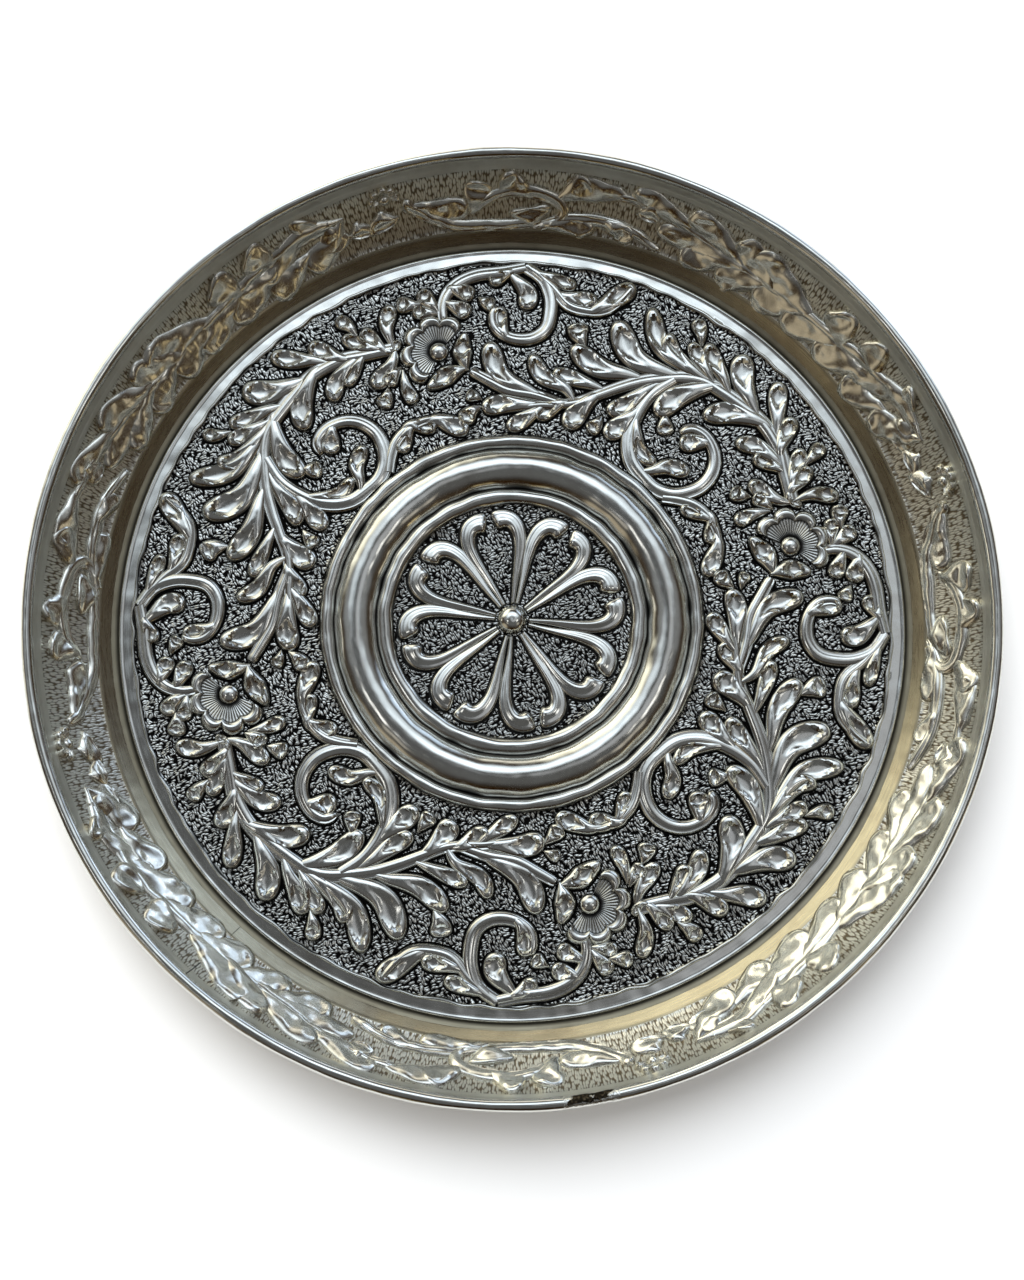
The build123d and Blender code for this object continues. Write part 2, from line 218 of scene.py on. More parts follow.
WALL_LEAVES = (
    (((1.0, 6.0), (1.5, 12.5)), 7.0),
    (((16.5, 14.5), (14.0, 12.5), (10.0, 11.0)), 4.0),
    (((9.0, 13.0), (8.0, 21.5)), 5.0),
    (((22.0, 16.0), (21.5, 10.0)), 6.0),
    (((25.5, 15.0), (25.5, 10.0)), 5.0),
    (((29.3, 17.0), (29.0, 8.5)), 6.0),
    (((29.0, 18.5), (33.0, 19.0), (36.0, 15.5), (41.0, 9.5)), 4.0),
    (((59.0, 12.3), (64.0, 12.6), (74.0, 12.5)), 4.0),
    (((29.0, 12.5), (34.0, 6.8)), 5.0),
    (((33.0, 12.0), (40.5, 6.6)), 5.5),
    (((39.0, 12.5), (47.0, 6.6)), 6.0),
    (((45.0, 12.0), (53.0, 6.8)), 5.5),
    (((51.0, 12.0), (58.0, 6.8)), 6.0),
    (((57.0, 12.0), (64.0, 6.6)), 5.5),
    (((62.0, 12.5), (70.0, 6.6)), 5.0),
    (((33.0, 18.5), (31.5, 23.0)), 5.0),
    (((38.0, 17.0), (41.0, 22.6)), 6.0),
    (((44.0, 15.0), (47.0, 22.0)), 6.0),
    (((50.0, 13.0), (57.0, 17.0), (59.5, 22.0)), 6.0),
    (((56.0, 13.0), (63.0, 20.0)), 5.5),
    (((62.0, 14.5), (70.0, 21.0)), 5.0),
    (((70.0, 17.0), (78.0, 22.4)), 4.5),
    (((75.0, 19.5), (75.5, 13.5)), 4.0),
    (((80.0, 20.0), (86.0, 19.5)), 4.5),
    (((89.0, 6.2), (82.0, 6.4)), 3.5),
    (((80.0, 9.0), (76.5, 6.2)), 3.5),
    (((2.5, 17.5), (5.5, 21.5)), 4.5),
    (((-3.0, 16.0), (-6.5, 21.8)), 4.5),
)
WALL_FLOWER = (21.0, 19.6)

# The plate's silvers: colour, roughness, share of tarnish, share of oxide and painted shade in the
# creases, and whether the wiping marks run round the plate
SILVERS = {
    # The scroll and the rosette
    "Hand polished silver plate": ("silver", 0.14, 0.35, 1.0, False),
    # The floor's plain bands and the rim wire
    "Round polished silver plate": ("silver", 0.15, 0.3, 1.0, True),
    # The wall's plain bands
    "Round polished worn plate": ("warm_silver", 0.38, 0.3, 0.8, True),
    # The cove along the wall's foot and the outside, where a cloth hardly reaches
    "Tarnished silver plate": ("cove", 0.28, 0.5, 0.9, True),
    # The wall's leaves, wiped clean of most of their oxide, with only faint painted shade in their outlines
    "Hand polished worn plate": ("warm_silver", 0.2, 0.25, 0.22, False),
}

# The room that the metal mirrors has soft patches of light. Each has its compass angle, its height
# above the horizon, its bright and faded reach in degrees, its colour and its strength. The last one
# takes light away from the near side.
ROOM_LIGHTS = (
    (62, 55, 6, 22, "#E4F1FF", 1.0), (92, 55, 6, 22, "#E4F1FF", 1.2), (122, 55, 6, 22, "#E4F1FF", 1.0),
    (92, 3, 8, 22, "#F8F5EA", 1.2), (52, 8, 8, 26, "#CFE4FF", 1.45), (127, 14, 12, 34, "#FEFCEB", 1.9),
    (169, 2, 6, 20, "#EDE6D0", 0.6), (163, 4, 2, 7, "#FFFCF0", 1.2), (176, 14, 2, 7, "#FFFCF0", 1.2),
    (8, 12, 2, 6, "#FFFFFF", 0.35), (70, 4, 2, 8, "#F2F6FF", 1.2), (110, 5, 2, 8, "#FFF8E4", 1.2),
    (45, 6, 2, 8, "#EAF3FF", 1.2), (217, 16, 5, 20, "#D9CDB4", 0.6), (255, 12, 2, 6, "#EAD6A8", 0.6),
    (283, 16, 2, 6, "#EAD6A8", 0.6), (322, 14, 2, 6, "#EAD6A8", 1.0), (345, 9, 2, 6, "#F4E6C8", 0.9),
    (305, 8, 2, 5, "#EAD6A8", 0.8), (25, 48, 6, 24, "#DCE2EA", 0.2), (158, 50, 6, 24, "#DCE2EA", 0.22),
    (215, 48, 3, 9, "#FFF6E6", 0.4), (325, 46, 3, 10, "#FFF6E6", 0.5), (195, 62, 2, 7, "#FFFFFF", 1.8),
    (350, 64, 2, 7, "#FFFFFF", 1.8), (20, 78, 4, 14, "#F2F6FF", 0.45), (270, 64, 8, 28, "#E8E4D8", 0.025),
    (270, 28, 8, 30, "#FFFFFF", -0.033),
)


def linear(hex_colour):
    """An sRGB hex colour as linear red, green and blue."""
    values = [int(hex_colour[i:i + 2], 16) / 255 for i in (1, 3, 5)]
    return tuple(v / 12.92 if v <= 0.04045 else ((v + 0.055) / 1.055) ** 2.4 for v in values)


def length(name, description, millimetres):
    """A length that can be set in the panel."""
    return FloatProperty(name=name, description=description, default=millimetres * MM, unit="LENGTH")


def paint(name, description, hex_colour):
    """A colour that can be set in the panel."""
    return FloatVectorProperty(
        name=name, description=description, subtype="COLOR", default=linear(hex_colour))


class ThaliSizes(bpy.types.PropertyGroup):
    """Sizes of the chased work that a user would change."""
    relief: length("Leaf relief", "Height of the leaves above the matted ground", 1.6)
    wall_relief: length("Wall relief", "Height of the wall's leaves above its ground", 1.4)
    recess: length("Ground recess", "How far the matted ground is sunk below the plain bands", 0.35)
    # The outline is a flat strip painted dark: oxide, and the shade of the chased groove
    outline: length("Chased outline", "Width of the dark line cut round each leaf", 0.42)
    hollow: length("Reverse hollow", "Depth of the hollows behind the leaves", 0.25)
    hammer: length("Hammering", "Unevenness left in the plain bands by the hammer", 0.07)
    grain: length("Matting grain", "Size of one punched grain of the ground", 0.6)
    seed: IntProperty(
        name="Hand", description="Seed of the small differences between the quarters", default=7)


class ThaliColours(bpy.types.PropertyGroup):
    """Colours of the metals and the stage."""
    silver: paint("Silver", "Polished silver plate", "#DEDED7")
    warm_silver: paint("Warm silver", "Silver plate of the wall, worn towards its brass", "#EDEBE0")
    cove: paint("Cove", "Browned silver along the foot of the wall", "#B9B097")
    tarnish: paint("Tarnish", "Thin brown tarnish on the silver", "#8F8069")
    # The worn ground and the oxide are also the darks that the painted shade in the outlines and beside the
    # relief is mixed towards
    worn: paint("Worn ground", "Thin tarnish between the strokes of the wall's ground", "#7D715D")
    oxide: paint("Oxide", "Black oxide left in the chased lines", "#131211")
    solder: paint("Solder", "Grey solder of the wall's joint", "#8C8A84")
    burnt: paint("Burnt solder", "Scorched solder where the rim wire is joined", "#2A251D")
    paper: paint("Stage", "The pale floor under the plate", "#F4F4F3")


def add_node(tree, kind, inputs, **settings):
    """Add a node with its settings, and set each input from a number, a colour or another node's output."""
    made = tree.nodes.new(kind)
    for key, value in settings.items():
        setattr(made, key, value)
    for key, value in inputs.items():
        if isinstance(value, bpy.types.NodeSocket):
            tree.links.new(value, made.inputs[key])
        else:
            made.inputs[key].default_value = value
    return made


def mottle(tree, place, size, detail, roughness=0.5):
    """The outputs of a noise whose lumps have a size in metres."""
    return add_node(tree, "ShaderNodeTexNoise", {
        "Vector": place, "Scale": 1 / size, "Detail": detail, "Roughness": roughness}).outputs


def ranged(tree, value, low, high, to_low=0.0, to_high=1.0, curve="LINEAR"):
    """A value carried over from one range to another and held inside it."""
    return add_node(tree, "ShaderNodeMapRange", {
        "Value": value, "From Min": low, "From Max": high, "To Min": to_low, "To Max": to_high},
        interpolation_type=curve).outputs[0]


def blended(tree, share, first, second):
    """A share of the way from one colour to another."""
    return add_node(tree, "ShaderNodeMix", {"Factor": share, "A": first, "B": second},
                    data_type="RGBA").outputs["Result"]


def sum_of(tree, operation, *values, clamp=False):
    """The result of one sum on some values."""
    return add_node(tree, "ShaderNodeMath", dict(enumerate(values)), operation=operation,
                    use_clamp=clamp).outputs[0]


def bumped(tree, height, strength, distance, **normal):
    """A normal tilted by the slopes of a height."""
    return add_node(tree, "ShaderNodeBump", {
        "Height": height, "Strength": strength, "Distance": distance, **normal}).outputs[0]


def bare_metal(tree, tone, rough, normal):
    """Finish a material as metal with a colour, a roughness and a normal."""
    metal = add_node(tree, "ShaderNodeBsdfPrincipled", {
        "Base Color": tone, "Metallic": 1.0, "Roughness": rough, "Normal": normal})
    add_node(tree, "ShaderNodeOutputMaterial", {"Surface": metal.outputs[0]})


def colour(value):
    """A colour property as the four numbers that a node takes."""
    return (*value, 1.0)


def new_material(name):
    """An empty material, its node tree and its Object coordinates."""
    material = bpy.data.materials.new(name)
    material.use_nodes = True
    tree = material.node_tree
    tree.nodes.clear()
    place = add_node(tree, "ShaderNodeTexCoord", {})
    return material, tree, place.outputs["Object"]


def round_place(tree, place):
    """Coordinates for marks that run round the plate: out from its axis, round it and up, in metres."""
    parts = add_node(tree, "ShaderNodeSeparateXYZ", {0: place}).outputs
    flat = add_node(tree, "ShaderNodeCombineXYZ", {"X": parts["X"], "Y": parts["Y"]})
    out = add_node(tree, "ShaderNodeVectorMath", {0: flat.outputs[0]}, operation="LENGTH")
    turn = sum_of(tree, "ARCTAN2", parts["Y"], parts["X"])
    way = sum_of(tree, "MULTIPLY", turn, MARK_RADIUS * MM)
    joined = add_node(tree, "ShaderNodeCombineXYZ", {"X": out.outputs["Value"], "Y": way, "Z": parts["Z"]})
    return joined.outputs[0]


def silver_plate(name, silver_name, roughness, tarnish_share, oxide_and_shade_share, wiped_round):
    """Silver plate over brass, beaten and polished by hand.

    It gives broad soft reflections that swim over shallow dents, fine wiping marks, brown tarnish in
    patches, and black oxide wherever the polishing cloth can't reach, darkened further by painted shade in
    the outlines of the relief.
    """
    colours = bpy.context.scene.thali_colours
    material, tree, place = new_material(name)
    dents = mottle(tree, place, 6 * MM, 1.0)["Fac"]
    patches = mottle(tree, place, 14 * MM, 6.0, 0.65)["Fac"]
    # Wiping marks are about 0.1 mm apart and are drawn at 0.5 mm so that they show
    along = round_place(tree, place) if wiped_round else place
    stretch = add_node(tree, "ShaderNodeMapping", {
        "Vector": along, "Scale": (1.0, 0.06 if wiped_round else 0.4, 1.0)})
    marks = mottle(tree, stretch.outputs[0], 0.5 * MM, 3.0, 0.6)["Fac"]
    share = ranged(tree, patches, 0.45, 0.75, 0.0, tarnish_share)
    tarnished = blended(tree, share, colour(getattr(colours, silver_name)), colour(colours.tarnish))
    # Oxide in the creases, and painted shade in the outlines round the relief
    creases = add_node(tree, "ShaderNodeAttribute", {}, attribute_name="crease")
    deep = sum_of(tree, "MULTIPLY", creases.outputs["Fac"], oxide_and_shade_share, clamp=True)
    oxide_and_shade_tone = blended(tree, deep, tarnished, colour(colours.oxide))
    worn = ranged(tree, marks, 0.3, 0.7, roughness - 0.05, roughness + 0.06)
    rough = sum_of(tree, "MULTIPLY_ADD", deep, 0.35, worn)
    low = bumped(tree, dents, 0.22, 0.5 * MM)
    fine = bumped(tree, marks, 0.06, 0.05 * MM, Normal=low)
    bare_metal(tree, oxide_and_shade_tone, rough, fine)
    return material


def matted_ground(name, silver, grain, black, upright):
    """Silver plate matted with a blunt tracer and blackened with oxide.

    It gives a dark ground crowded with rows of short strokes that glint on their crests. The rows lean
    one way or another in patches on the floor, and stand along the slope of the wall.
    """
    if upright:
        leans, swing, stroke, trough, top, shine, cut = [(0, -45, 0)], 0.8, 3.4, 0.68, 0.3, 0.35, 0.6
    else:
        leans, swing, stroke, trough, top, shine, cut = [(0, 0, 20), (0, 0, -60)], 4, 2.4, 0.5, 0.22, 0.2, 1.0
    material, tree, place = new_material(name)
    along = round_place(tree, place) if upright else place
    sway = mottle(tree, along, 6 * grain, 1.0)
    bend = add_node(tree, "ShaderNodeVectorMath", {0: sway["Color"], 1: [swing * grain] * 3, 2: along},
                    operation="MULTIPLY_ADD")
    rows = []
    for lean in leans:
        stretch = add_node(tree, "ShaderNodeMapping", {
            "Vector": bend.outputs[0], "Rotation": [math.radians(turn) for turn in lean],
            "Scale": (stroke, 1, 1)}, vector_type="TEXTURE")
        strokes = add_node(tree, "ShaderNodeTexVoronoi", {
            "Vector": stretch.outputs[0], "Scale": 1 / grain, "Randomness": 0.8}, voronoi_dimensions="2D")
        rows.append(strokes.outputs["Distance"])
    patches = ranged(tree, sway["Fac"], 0.49, 0.51)
    mixed = add_node(tree, "ShaderNodeMix", {"Factor": patches, "A": rows[0], "B": rows[-1]})
    depth = mixed.outputs["Result"]
    crest = ranged(tree, depth, trough, top, curve="SMOOTHSTEP")
    creases = add_node(tree, "ShaderNodeAttribute", {}, attribute_name="crease")
    # Near the relief and along the grooves the crests are darkened: oxide, and painted shade at the foot of
    # the relief
    clean = sum_of(tree, "MULTIPLY_ADD", creases.outputs["Fac"], -0.5, 1.0)
    tone = blended(tree, sum_of(tree, "MULTIPLY", crest, clean), colour(black), colour(silver))
    ridge = sum_of(tree, "SUBTRACT", 1.0, depth)
    bare_metal(tree, tone, ranged(tree, crest, 0.0, 1.0, 0.5, shine), bumped(tree, ridge, cut, 0.3 * grain))
    return material


def seam_solder(name):
    """Soft solder left as it ran, with pits and a skin of flux.

    It gives a dull lumpy grey with dark pits.
    """
    colours = bpy.context.scene.thali_colours
    material, tree, place = new_material(name)
    lumps = mottle(tree, place, 1.3 * MM, 6.0, 0.7)["Fac"]
    skin = ranged(tree, lumps, 0.42, 0.62)
    tone = blended(tree, skin, colour(colours.oxide), colour(colours.solder))
    bare_metal(tree, tone, ranged(tree, skin, 0.0, 1.0, 0.65, 0.4), bumped(tree, lumps, 0.7, 0.4 * MM))
    return material


def scorched_joint(name):
    """Silver wire scorched where its ends were soldered.

    It gives ragged brown-black burns on the inner side, with flecks of bright metal, and a clean outside.
    """
    colours = bpy.context.scene.thali_colours
    material, tree, place = new_material(name)
    lumps = mottle(tree, place, 1.8 * MM, 6.0, 0.7)["Fac"]
    flecks = mottle(tree, place, 0.6 * MM, 3.0)["Fac"]
    spot = add_node(tree, "ShaderNodeSeparateXYZ", {0: round_place(tree, place)}).outputs
    inner = ranged(tree, spot["X"], (RIM_RADIUS - 0.7) * MM, (RIM_RADIUS - 1.7) * MM, -0.65, -0.05)
    # The burn leans, and fades out towards both ends of the joint
    slant, aside = 1.5, -1.4
    lean = sum_of(tree, "MULTIPLY_ADD", spot["X"], slant, spot["Y"])
    middle = math.radians(RIM_JOINT_ANGLE - 360) * MARK_RADIUS + slant * (RIM_RADIUS - WIRE_RADIUS) + aside
    away = sum_of(tree, "ABSOLUTE", sum_of(tree, "SUBTRACT", lean, middle * MM))
    ends = ranged(tree, away, 3.6 * MM, 6.8 * MM, 0.0, -0.8)
    reach = sum_of(tree, "ADD", sum_of(tree, "MULTIPLY_ADD", lumps, 1.6, inner), ends)
    burn = ranged(tree, reach, 0.4, 0.52)
    scorch = ranged(tree, flecks, 0.5, 0.75, 0.0, 0.6)
    dark = blended(tree, scorch, colour(colours.burnt), colour(colours.tarnish))
    tone = blended(tree, burn, colour(colours.silver), dark)
    bare_metal(tree, tone, ranged(tree, burn, 0.0, 1.0, 0.2, 0.65), bumped(tree, flecks, 0.6, 0.3 * MM))
    return material


def kept_material(name, make, *values):
    """A material by its name, made the first time that it is asked for."""
    return bpy.data.materials.get(name) or make(name, *values)


def silver_named(name):
    """One of the plate's silvers."""
    return kept_material(name, silver_plate, *SILVERS[name])


def line_to(bm, last, radius, height, steps=1):
    """Carry a cut on from its last vertex by a straight run of some steps."""
    start, end = last.co.copy(), Vector((radius, 0, height)) * MM
    for step in range(steps):
        new = bmesh.ops.extrude_vert_indiv(bm, verts=[last])["verts"][0]
        new.co = start.lerp(end, (step + 1) / steps)
        last = new
    return last


def arc_to(bm, last, radius, height, rise, steps):
    """Carry a cut on by an arc whose middle stands off its chord by rise, to the left of its run."""
    start, end = last.co.copy(), Vector((radius, 0, height)) * MM
    chord = end - start
    left = Vector((-chord.z, 0, chord.x)).normalized()
    bow = rise * MM
    centre = (start + end) / 2 + left * (bow - (chord.length_squared / 4 + bow * bow) / (2 * bow))
    swept = bmesh.ops.spin(bm, geom=[last], cent=centre, axis=(0, 1, 0), steps=steps,
                           angle=4 * math.atan(2 * bow / chord.length))
    return next(v for v in swept["geom_last"] if isinstance(v, bmesh.types.BMVert))


def draw_cut(bm, spots, closed=False):
    """Draw the cut of a turned piece through spots, each a radius and a height in millimetres.

    A third number is the steps of a straight run to the spot. Two more are the rise and steps of an arc.
    """
    last = bm.verts.new(Vector((spots[0][0], 0, spots[0][1])) * MM)
    for radius, height, *run in spots[1:]:
        carry_on = arc_to if len(run) == 2 else line_to
        last = carry_on(bm, last, radius, height, *run)
    if closed:
        bmesh.ops.contextual_create(bm, geom=[last, bm.verts[:][0]])


def spin_cut(bm, start_angle, arc, steps):
    """Spin the cut drawn in a bmesh about the plate's axis, closing it where it goes right round.

    A thirty-second of the arc is spun in steps, and turned copies of it make the rest.
    """
    part = math.radians(arc) / 32
    bmesh.ops.rotate(bm, verts=bm.verts, matrix=Matrix.Rotation(math.radians(start_angle), 3, "Z"))
    bmesh.ops.spin(bm, geom=bm.verts[:] + bm.edges[:], cent=(0, 0, 0), axis=(0, 0, 1), angle=part,
                   steps=steps)
    for doubling in range(5):
        copy = bmesh.ops.duplicate(bm, geom=bm.verts[:] + bm.edges[:] + bm.faces[:])["geom"]
        bmesh.ops.rotate(bm, verts=[g for g in copy if isinstance(g, bmesh.types.BMVert)],
                         matrix=Matrix.Rotation(part * 2 ** doubling, 3, "Z"))
    bmesh.ops.remove_doubles(bm, verts=bm.verts, dist=0.0005 * MM)
    if arc < 360:
        bmesh.ops.holes_fill(bm, edges=[e for e in bm.edges if e.is_boundary], sides=0)
    bmesh.ops.recalc_face_normals(bm, faces=bm.faces)


def hammer(verts, size, depth):
    """Push vertices in and out by shallow seeded dents of a size in millimetres."""
    moves = [(v, v.normal * depth * noise.noise(v.co / (size * MM))) for v in verts]
    for vert, move in moves:
        vert.co += move


def crease_layer(bm):
    """The layer that says how dark each vertex is painted: oxide, and painted shade in the outlines and
    beside the relief.
    """
    layers = bm.verts.layers.float
    return layers.get("crease") or layers.new("crease")


def make_piece(bm, name, materials, nodes=()):
    """Make a finished bmesh an object that rides with the plate and stands for CAD nodes."""
    mesh = bpy.data.meshes.new(name)
    bm.to_mesh(mesh)
    bm.free()
    mesh.shade_smooth()
    mesh.set_sharp_from_angle(angle=math.radians(38))
    for material in materials:
        mesh.materials.append(material)
    piece = bpy.data.objects.new(name, mesh)
    bpy.context.scene.collection.objects.link(piece)
    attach(piece, "root")
    if nodes:
        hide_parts(*nodes)


def spine_at(points, share):
    """The point and heading at a share of the way along a smooth line through given points."""
    count = len(points) - 1
    leg = min(int(share * count), count - 1)
    t = share * count - leg
    p1, p2 = points[leg], points[leg + 1]
    p0 = points[leg - 1] if leg else p1 * 2 - p2
    p3 = points[leg + 2] if leg + 2 <= count else p2 * 2 - p1
    a, b, c = p2 - p0, p0 * 2 - p1 * 5 + p2 * 4 - p3, p1 * 3 - p0 - p2 * 3 + p3
    return p1 + (a * t + b * t * t + c * t ** 3) / 2, (a + b * 2 * t + c * 3 * t * t).normalized()


def even_spine(points, shares):
    """Points and headings at shares of the length of a smooth line through given points."""
    legs = 90
    dense = [spine_at(points, step / legs)[0] for step in range(legs + 1)]
    walked = [0.0]
    for before, after in zip(dense, dense[1:]):
        walked.append(walked[-1] + (after - before).length)
    found = []
    for share in shares:
        step = min(max(bisect.bisect(walked, share * walked[-1]), 1), legs)
        run = dense[step] - dense[step - 1]
        part = (share * walked[-1] - walked[step - 1]) / max(run.length, 1e-6)
        found.append((dense[step - 1] + run * part, run.normalized()))
    return found


def emboss(bm, lay, points, half_width, height, rows, columns):
    """Raise a closed form along a line, with a dark outline round it and a skirt sunk in the ground.
    The outline is a flat strip painted dark with oxide and the shade of the chased groove it stands for.

    half_width takes the share along the line. height takes that and the place across, from -1 to 1,
    and gives the height in millimetres and how dark the metal is painted, with oxide and with shade at
    its edges. The grid goes right round the form: across its top, down its skirts and along its
    underside. Its rows crowd towards the tip.
    """
    crease = crease_layer(bm)
    outline = bpy.context.scene.thali_sizes.outline / MM
    shares = [1 - (1 - row / rows) ** 1.3 for row in range(rows + 1)]
    spine = even_spine(points, shares)
    verts = bmesh.ops.create_grid(bm, x_segments=columns + 5, y_segments=rows + 2, size=1)["verts"]
    for vert in verts:
        column = round((vert.co.x + 1) / 2 * (columns + 5)) - 2
        row = round((vert.co.y + 1) / 2 * (rows + 2)) - 1
        column = -2 if column == columns + 3 else column
        across = math.sin((min(max(column / columns, 0), 1) - 0.5) * math.pi)
        side = (column > columns) - (column < 0)
        end = (row > rows) - (row < 0)
        along = shares[min(max(row, 0), rows)]
        middle, heading = spine[min(max(row, 0), rows)]
        right = Vector((heading.y, -heading.x))
        reach = outline * (0.72 if side and end else 1.0)
        spot = middle + right * (across * half_width(along) + side * reach) + heading * end * reach
        if column in (-2, columns + 2):
            rise, vert[crease] = -SKIRT_DEPTH, 1.0
        elif side or end:
            # The outline strip is painted fully dark: oxide, and the shade of the chased groove
            rise, vert[crease] = OUTLINE_RISE, 1.0
        else:
            rise, vert[crease] = height(along, across)
        vert.co = lay(spot.x, spot.y, rise)
    bmesh.ops.remove_doubles(bm, verts=verts, dist=0.002 * MM)
    ends = {e for v in verts if v.is_valid for e in v.link_edges if e.is_boundary}
    bmesh.ops.holes_fill(bm, edges=list(ends), sides=0)


def closing(along, start, power):
    """A share that falls in a round end from 1 at a start along a form to 0 at its tip."""
    return math.sqrt(max(0, 1 - max(0, (along - start) / (1 - start)) ** power))


def dome(across, power):
    """A share that falls in a round from 1 in the middle of a form to 0 at its edges."""
    return math.sqrt(max(0, 1 - abs(across) ** power))


def edge_oxide_and_shade(across, start=0.8, gain=5):
    """How dark the metal is painted towards the edges of a form: oxide, and the shade of the chased groove
    round it.
    """
    return max(0.0, abs(across) - start) * gain


def led_from(stems, points, lead):
    """A leaf's line with its root led back along the nearest stem, so that it leaves the stem at a slant."""
    root, way = Vector(points[0]), (Vector(points[1]) - Vector(points[0])).normalized()
    spots = []
    for row in stems:
        line = [Vector(p) for p in row[0]]
        spots += [spine_at(line, step / 60) for step in range(61)]
    spot, heading = min(spots, key=lambda found: (found[0] - root).length)
    if (spot - root).length > 5:
        return points
    return [spot - heading * lead * heading.dot(way), *points]


def leaf(bm, lay, points, width, relief, hand, pointed=False, puffed=False):
    """A cupped leaf: a slim root, a broad body with a teardrop hollow, and a thick round or pointed tip.

    A puffed leaf is broader and hardly hollowed.
    """
    points = [Vector(p) for p in points]
    if len(points) == 2:
        run = points[1] - points[0]
        bend = Vector((run.y, -run.x)) * hand.uniform(-0.09, 0.09)
        points.insert(1, points[0].lerp(points[1], 0.5) + bend)
    points[-1] = points[-1] + Vector((hand.uniform(-0.4, 0.4), hand.uniform(-0.4, 0.4)))
    broad = width * hand.uniform(1.08, 1.22) / 2 * (1.45 if puffed else 1)
    crown = relief * hand.uniform(0.9, 1.1)
    widest = 0.5 if pointed else hand.uniform(0.7, 0.76)
    start, stop = (0.2, 0.8) if pointed else (hand.uniform(0.36, 0.44), 0.9)
    deep = hand.uniform(0.1, 0.35) if puffed else hand.uniform(0.62, 0.8)
    tip_power = 1.3 if pointed else 2.4
    square = 1.8 if puffed else 2.3

    def half_width(s):
        swell = min(1, s / widest)
        slim = 0.18 + 0.24 * min(1, s / 0.2)
        return broad * (slim + (1 - slim) * swell * swell * (3 - 2 * swell)) * closing(s, widest, tip_power)

    def height(s, u):
        rise = crown * (0.5 + 0.5 * min(1, s / 0.3)) * dome(u, square) * closing(s, 0.92, 2)
        share = (s - start) / (stop - start)
        if not 0 < share < 1:
            return rise, edge_oxide_and_shade(u)
        reach = 0.7 * math.sin(math.pi * share ** 1.6) ** 0.75
        bowl = max(0, 1 - (u / reach) ** 2)
        return rise - crown * deep * bowl ** 0.5 * min(1, share * 2.2), edge_oxide_and_shade(u) + 0.12 * bowl

    emboss(bm, lay, points, half_width, height, 26, 14)


def stem(bm, lay, points, root_width, tip_width, relief):
    """A rounded stem with a ridge along one side and a shallow channel beside it."""
    points = [Vector(p) for p in points]
    run = sum((b - a).length for a, b in zip(points, points[1:]))

    def half_width(s):
        width = (1.35 + 0.35 * math.sin(math.pi * s)) * (root_width + (tip_width - root_width) * s)
        return width / 2 * closing(s, 0.96, 2)

    def height(s, u):
        channel = math.exp(-((u - 0.42) / 0.2) ** 2)
        rise = relief * dome(u, 2.4) * closing(s, 0.97, 2) * (1 - 0.3 * channel)
        return rise, edge_oxide_and_shade(u) + 0.2 * channel

    emboss(bm, lay, points, half_width, height, max(8, round(run / 1.2)), 12)


def pellet(bm, lay, x, y, radius, height):
    """A round pellet raised from the ground, dark about its foot."""
    crease = crease_layer(bm)
    for vert in bmesh.ops.create_uvsphere(bm, u_segments=36, v_segments=20, radius=1)["verts"]:
        level = vert.co.z if vert.co.z > 0 else vert.co.z * 0.06
        vert[crease] = max(0.0, 0.4 - level) * 2.5
        vert.co = lay(x + vert.co.x * radius, y + vert.co.y * radius, level * height)


def fan(bm, lay, middle, start, end, inner, outer, lobes, relief):
    """A flower's cup: a bowl scored with fine lines, and petals side by side rolled over along its edge."""
    crease = crease_layer(bm)
    columns, rows, bowl = lobes * 30, 20, 0.6
    verts = bmesh.ops.create_grid(bm, x_segments=columns, y_segments=rows + 2, size=1)["verts"]
    for vert in verts:
        across, row = (vert.co.x + 1) / 2, round((vert.co.y + 1) / 2 * (rows + 2)) - 1
        angle = math.radians(start + (end - start) * across)
        along = min(max(row / rows, 0), 1)
        lobe = abs(math.sin(across * math.pi * lobes))
        reach = inner + (outer * (0.82 + 0.18 * lobe ** 0.6) - inner) * along
        score = max(0, math.cos(across * lobes * 6 * math.tau)) if 0.1 < along < bowl else 0
        roll = max(0, (along - bowl) / (1 - bowl))
        rise = 0.4 + 0.25 * min(1, along / bowl) + 0.35 * math.sin(math.pi * min(1, roll / 0.85))
        rise *= math.sqrt(max(0, 1 - roll ** 5)) * (1 - 0.3 * max(0, 1 - lobe * 3) * roll)
        sunk = row < 0 or row > rows or across in (0.0, 1.0)
        notch = max(0, 0.3 - lobe) * 2 * roll + max(0, 1 - abs(along - bowl) / 0.06)
        notch += max(0, roll - 0.85) * 5 + max(0, 0.22 - along) * 8
        vert[crease] = 1.0 if sunk else min(1, 0.8 * score + notch)
        vert.co = lay(middle[0] + reach * math.cos(angle), middle[1] + reach * math.sin(angle),
                      -SKIRT_DEPTH if sunk else relief * rise - 0.15 * score)
    bmesh.ops.contextual_create(bm, geom=list({e for v in verts for e in v.link_edges if e.is_boundary}))


def on_floor(x, y, height):
    """A place on the sunk ground of the floor, kept out of the hollow under the ring's outer bead."""
    reach = math.hypot(x, y)
    if ROSETTE_RADIUS < reach < BOSS_RADIUS:
        x, y = x * BOSS_RADIUS / reach, y * BOSS_RADIUS / reach
    return Vector((x, y, FLOOR_TOP + height)) * MM - Vector((0, 0, bpy.context.scene.thali_sizes.recess))


def wall_spot(climb, rise):
    """The radius and height of a place at a climb up from the seam that stands off the wall's inner line."""
    angle = FOOT_SLOPE + (climb - SIDE_CLIMB) / SIDE_BOW
    normal = Vector((-math.sin(angle), math.cos(angle)))
    return SIDE_CENTRE - normal * SIDE_BOW + normal * rise


